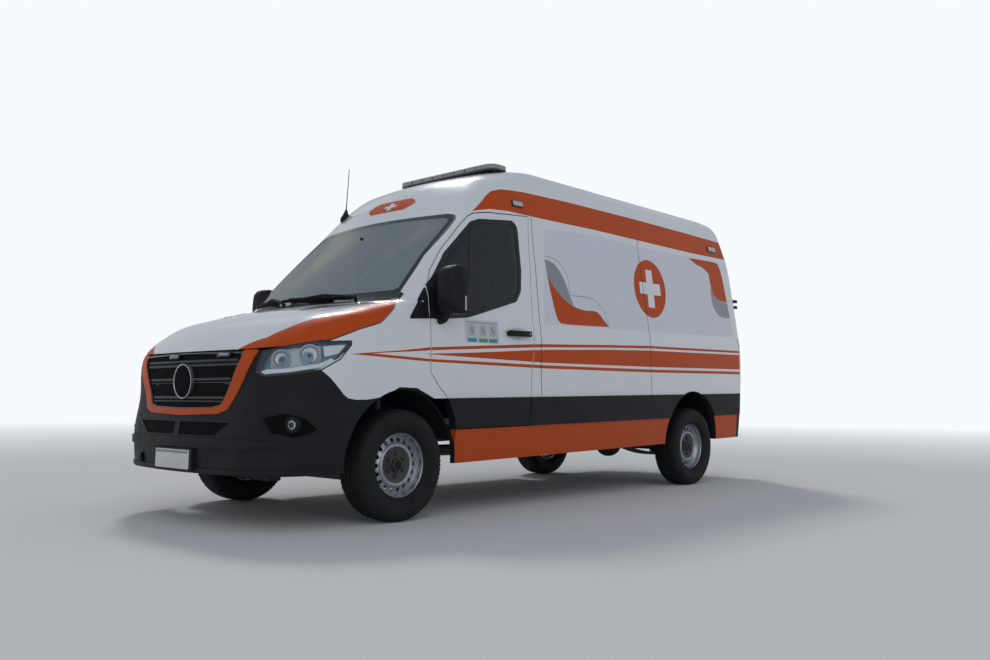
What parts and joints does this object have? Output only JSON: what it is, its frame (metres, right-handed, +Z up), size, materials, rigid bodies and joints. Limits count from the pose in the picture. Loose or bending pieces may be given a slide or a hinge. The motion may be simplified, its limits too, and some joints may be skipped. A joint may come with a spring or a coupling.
{
  "type": "high-roof van ambulance",
  "caption": "High-roof panel van ambulance with steering front wheels, opening cab doors, rear doors and hood, light bar and orange livery",
  "frame": {"origin": "on the ground under the middle of the vehicle's overall box", "axes": "+X to the vehicle's left, +Y to its rear, +Z up; the front faces -Y"},
  "size_m": [2.344, 5.9327, 2.704],
  "materials": {
    "white_paint": "smooth white paint",
    "dark_plastic": "charcoal moulded plastic",
    "window_glass": "tinted glass",
    "lamp_glass": "clear lamp lens",
    "red_lens": "red lamp lens",
    "tyre_rubber": "black rubber",
    "silver_steel": "silver painted steel",
    "chassis_steel": "black chassis paint",
    "cast_metal": "bare casting",
    "seat_fabric": "dark woven cloth",
    "floor_cover": "grey studded floor covering"
  },
  "bodies": {
    "body": {"antenna": "dark_plastic", "body_side_left": "white_paint", "body_side_right": "white_paint", "bulkhead": "white_paint", "cab_seats": "seat_fabric", "cowl": "dark_plastic", "dashboard": "dark_plastic", "engine": "cast_metal", "exhaust": "silver_steel", "floor": "floor_cover", "front_bumper": "dark_plastic", "front_fenders": "white_paint", "front_struts": "chassis_steel", "front_subframe": "chassis_steel", "fuel_tank": "dark_plastic", "grille": "dark_plastic", "headlights": "lamp_glass", "leaf_springs": "chassis_steel", "light_bar": "dark_plastic", "rear_axle": "chassis_steel", "rear_bumper": "dark_plastic", "roof": "white_paint", "sliding_side_door": "white_paint", "tail_lights": "red_lens", "underbody_frame": "chassis_steel", "wheel_arch_liners": "dark_plastic", "windscreen": "window_glass"},
    "hood": {"hood": "white_paint"},
    "front_door_left": {"front_door_left": "white_paint", "front_window_left": "window_glass", "mirror_left": "dark_plastic"},
    "front_door_right": {"front_door_right": "white_paint", "front_window_right": "window_glass", "mirror_right": "dark_plastic"},
    "rear_door_left": {"rear_door_left": "white_paint", "rear_window_left": "window_glass"},
    "rear_door_right": {"rear_door_right": "white_paint", "rear_window_right": "window_glass"},
    "knuckle_left": {"knuckle_left": "cast_metal"},
    "knuckle_right": {"knuckle_right": "cast_metal"},
    "front_wheel_left": {"front_left_tyre": "tyre_rubber", "front_left_rim": "silver_steel"},
    "front_wheel_right": {"front_right_tyre": "tyre_rubber", "front_right_rim": "silver_steel"},
    "rear_wheel_left": {"rear_left_tyre": "tyre_rubber", "rear_left_rim": "silver_steel"},
    "rear_wheel_right": {"rear_right_tyre": "tyre_rubber", "rear_right_rim": "silver_steel"},
    "steering_wheel": {"steering_wheel": "dark_plastic"}
  },
  "joints": [
    {"name": "hood_hinge", "type": "hinge", "parent": "body", "child": "hood", "pos_m": [0, -1.96672, 1.4467], "axis": [-1, 0, 0], "range_deg": [0, 60]},
    {"name": "front_door_left_hinge", "type": "hinge", "parent": "body", "child": "front_door_left", "pos_m": [0.997, -1.71718, 1.00413], "axis": [0, 0.0181, -0.9998], "range_deg": [0, 70]},
    {"name": "front_door_right_hinge", "type": "hinge", "parent": "body", "child": "front_door_right", "pos_m": [-0.997, -1.71718, 1.00413], "axis": [0, -0.0181, 0.9998], "range_deg": [0, 70]},
    {"name": "rear_door_left_hinge", "type": "hinge", "parent": "body", "child": "rear_door_left", "pos_m": [0.8135, 2.82196, 1.28625], "axis": [0, 0.0181, -0.9998], "range_deg": [0, 180]},
    {"name": "rear_door_right_hinge", "type": "hinge", "parent": "body", "child": "rear_door_right", "pos_m": [-0.8135, 2.82196, 1.28625], "axis": [0, -0.0181, 0.9998], "range_deg": [0, 180]},
    {"name": "steer_left", "type": "hinge", "parent": "body", "child": "knuckle_left", "pos_m": [0.7, -1.94, 0.356], "axis": [0, 0, 1], "range_deg": [-35, 35]},
    {"name": "steer_right", "type": "hinge", "parent": "body", "child": "knuckle_right", "pos_m": [-0.7, -1.94, 0.356], "axis": [0, 0, 1], "range_deg": [-35, 35]},
    {"name": "front_wheel_left_spin", "type": "hinge", "parent": "knuckle_left", "child": "front_wheel_left", "pos_m": [0.852, -1.94, 0.356], "axis": [1, 0, 0], "continuous": true},
    {"name": "front_wheel_right_spin", "type": "hinge", "parent": "knuckle_right", "child": "front_wheel_right", "pos_m": [-0.852, -1.94, 0.356], "axis": [1, 0, 0], "continuous": true},
    {"name": "rear_wheel_left_spin", "type": "hinge", "parent": "body", "child": "rear_wheel_left", "pos_m": [0.852, 1.725, 0.356], "axis": [1, 0, 0], "continuous": true},
    {"name": "rear_wheel_right_spin", "type": "hinge", "parent": "body", "child": "rear_wheel_right", "pos_m": [-0.852, 1.725, 0.356], "axis": [1, 0, 0], "continuous": true},
    {"name": "steering_wheel_turn", "type": "hinge", "parent": "body", "child": "steering_wheel", "pos_m": [0.42, -1.71385, 1.12421], "axis": [0, 0.7309, 0.6825], "range_deg": [-560, 560]}
  ],
  "couplings": [
    {"joint": "steer_right", "follows": "steer_left", "ratio": 1},
    {"joint": "steering_wheel_turn", "follows": "steer_left", "ratio": 16}
  ]
}
